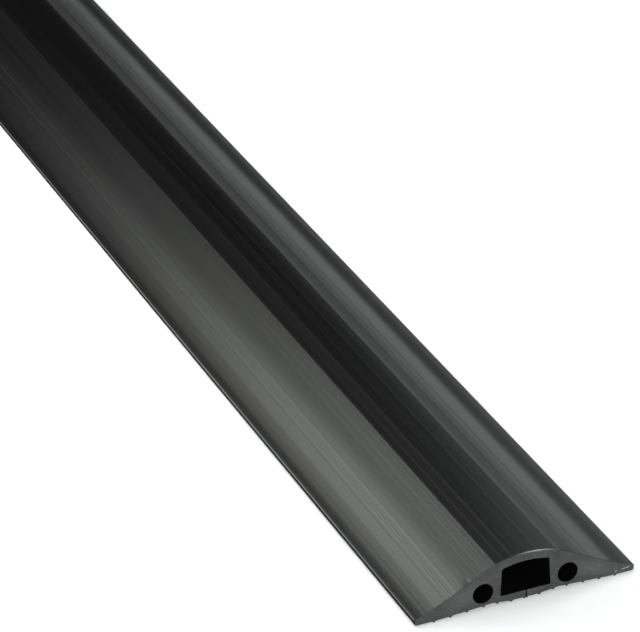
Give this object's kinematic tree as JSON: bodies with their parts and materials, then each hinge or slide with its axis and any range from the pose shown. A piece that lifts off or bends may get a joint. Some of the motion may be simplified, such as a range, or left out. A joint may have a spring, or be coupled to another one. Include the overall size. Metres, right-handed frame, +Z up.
{
  "type": "floor cable cover",
  "caption": "Low ramped floor strip of soft black PVC with a slit cable channel under its dome, side holes for joining pegs, and grip ribs below.",
  "frame": {"origin": "centre of the footprint, on the floor plane that the outer grip ribs stand on", "axes": "+X across the width, +Y along the strip's length, +Z up from the floor"},
  "size_m": [0.068, 1.8, 0.0153],
  "materials": {
    "cover_strip": "matt extruded soft PVC with fine die lines along its length"
  },
  "bodies": {
    "root": {"cover_strip": "cover_strip"}
  },
  "joints": []
}
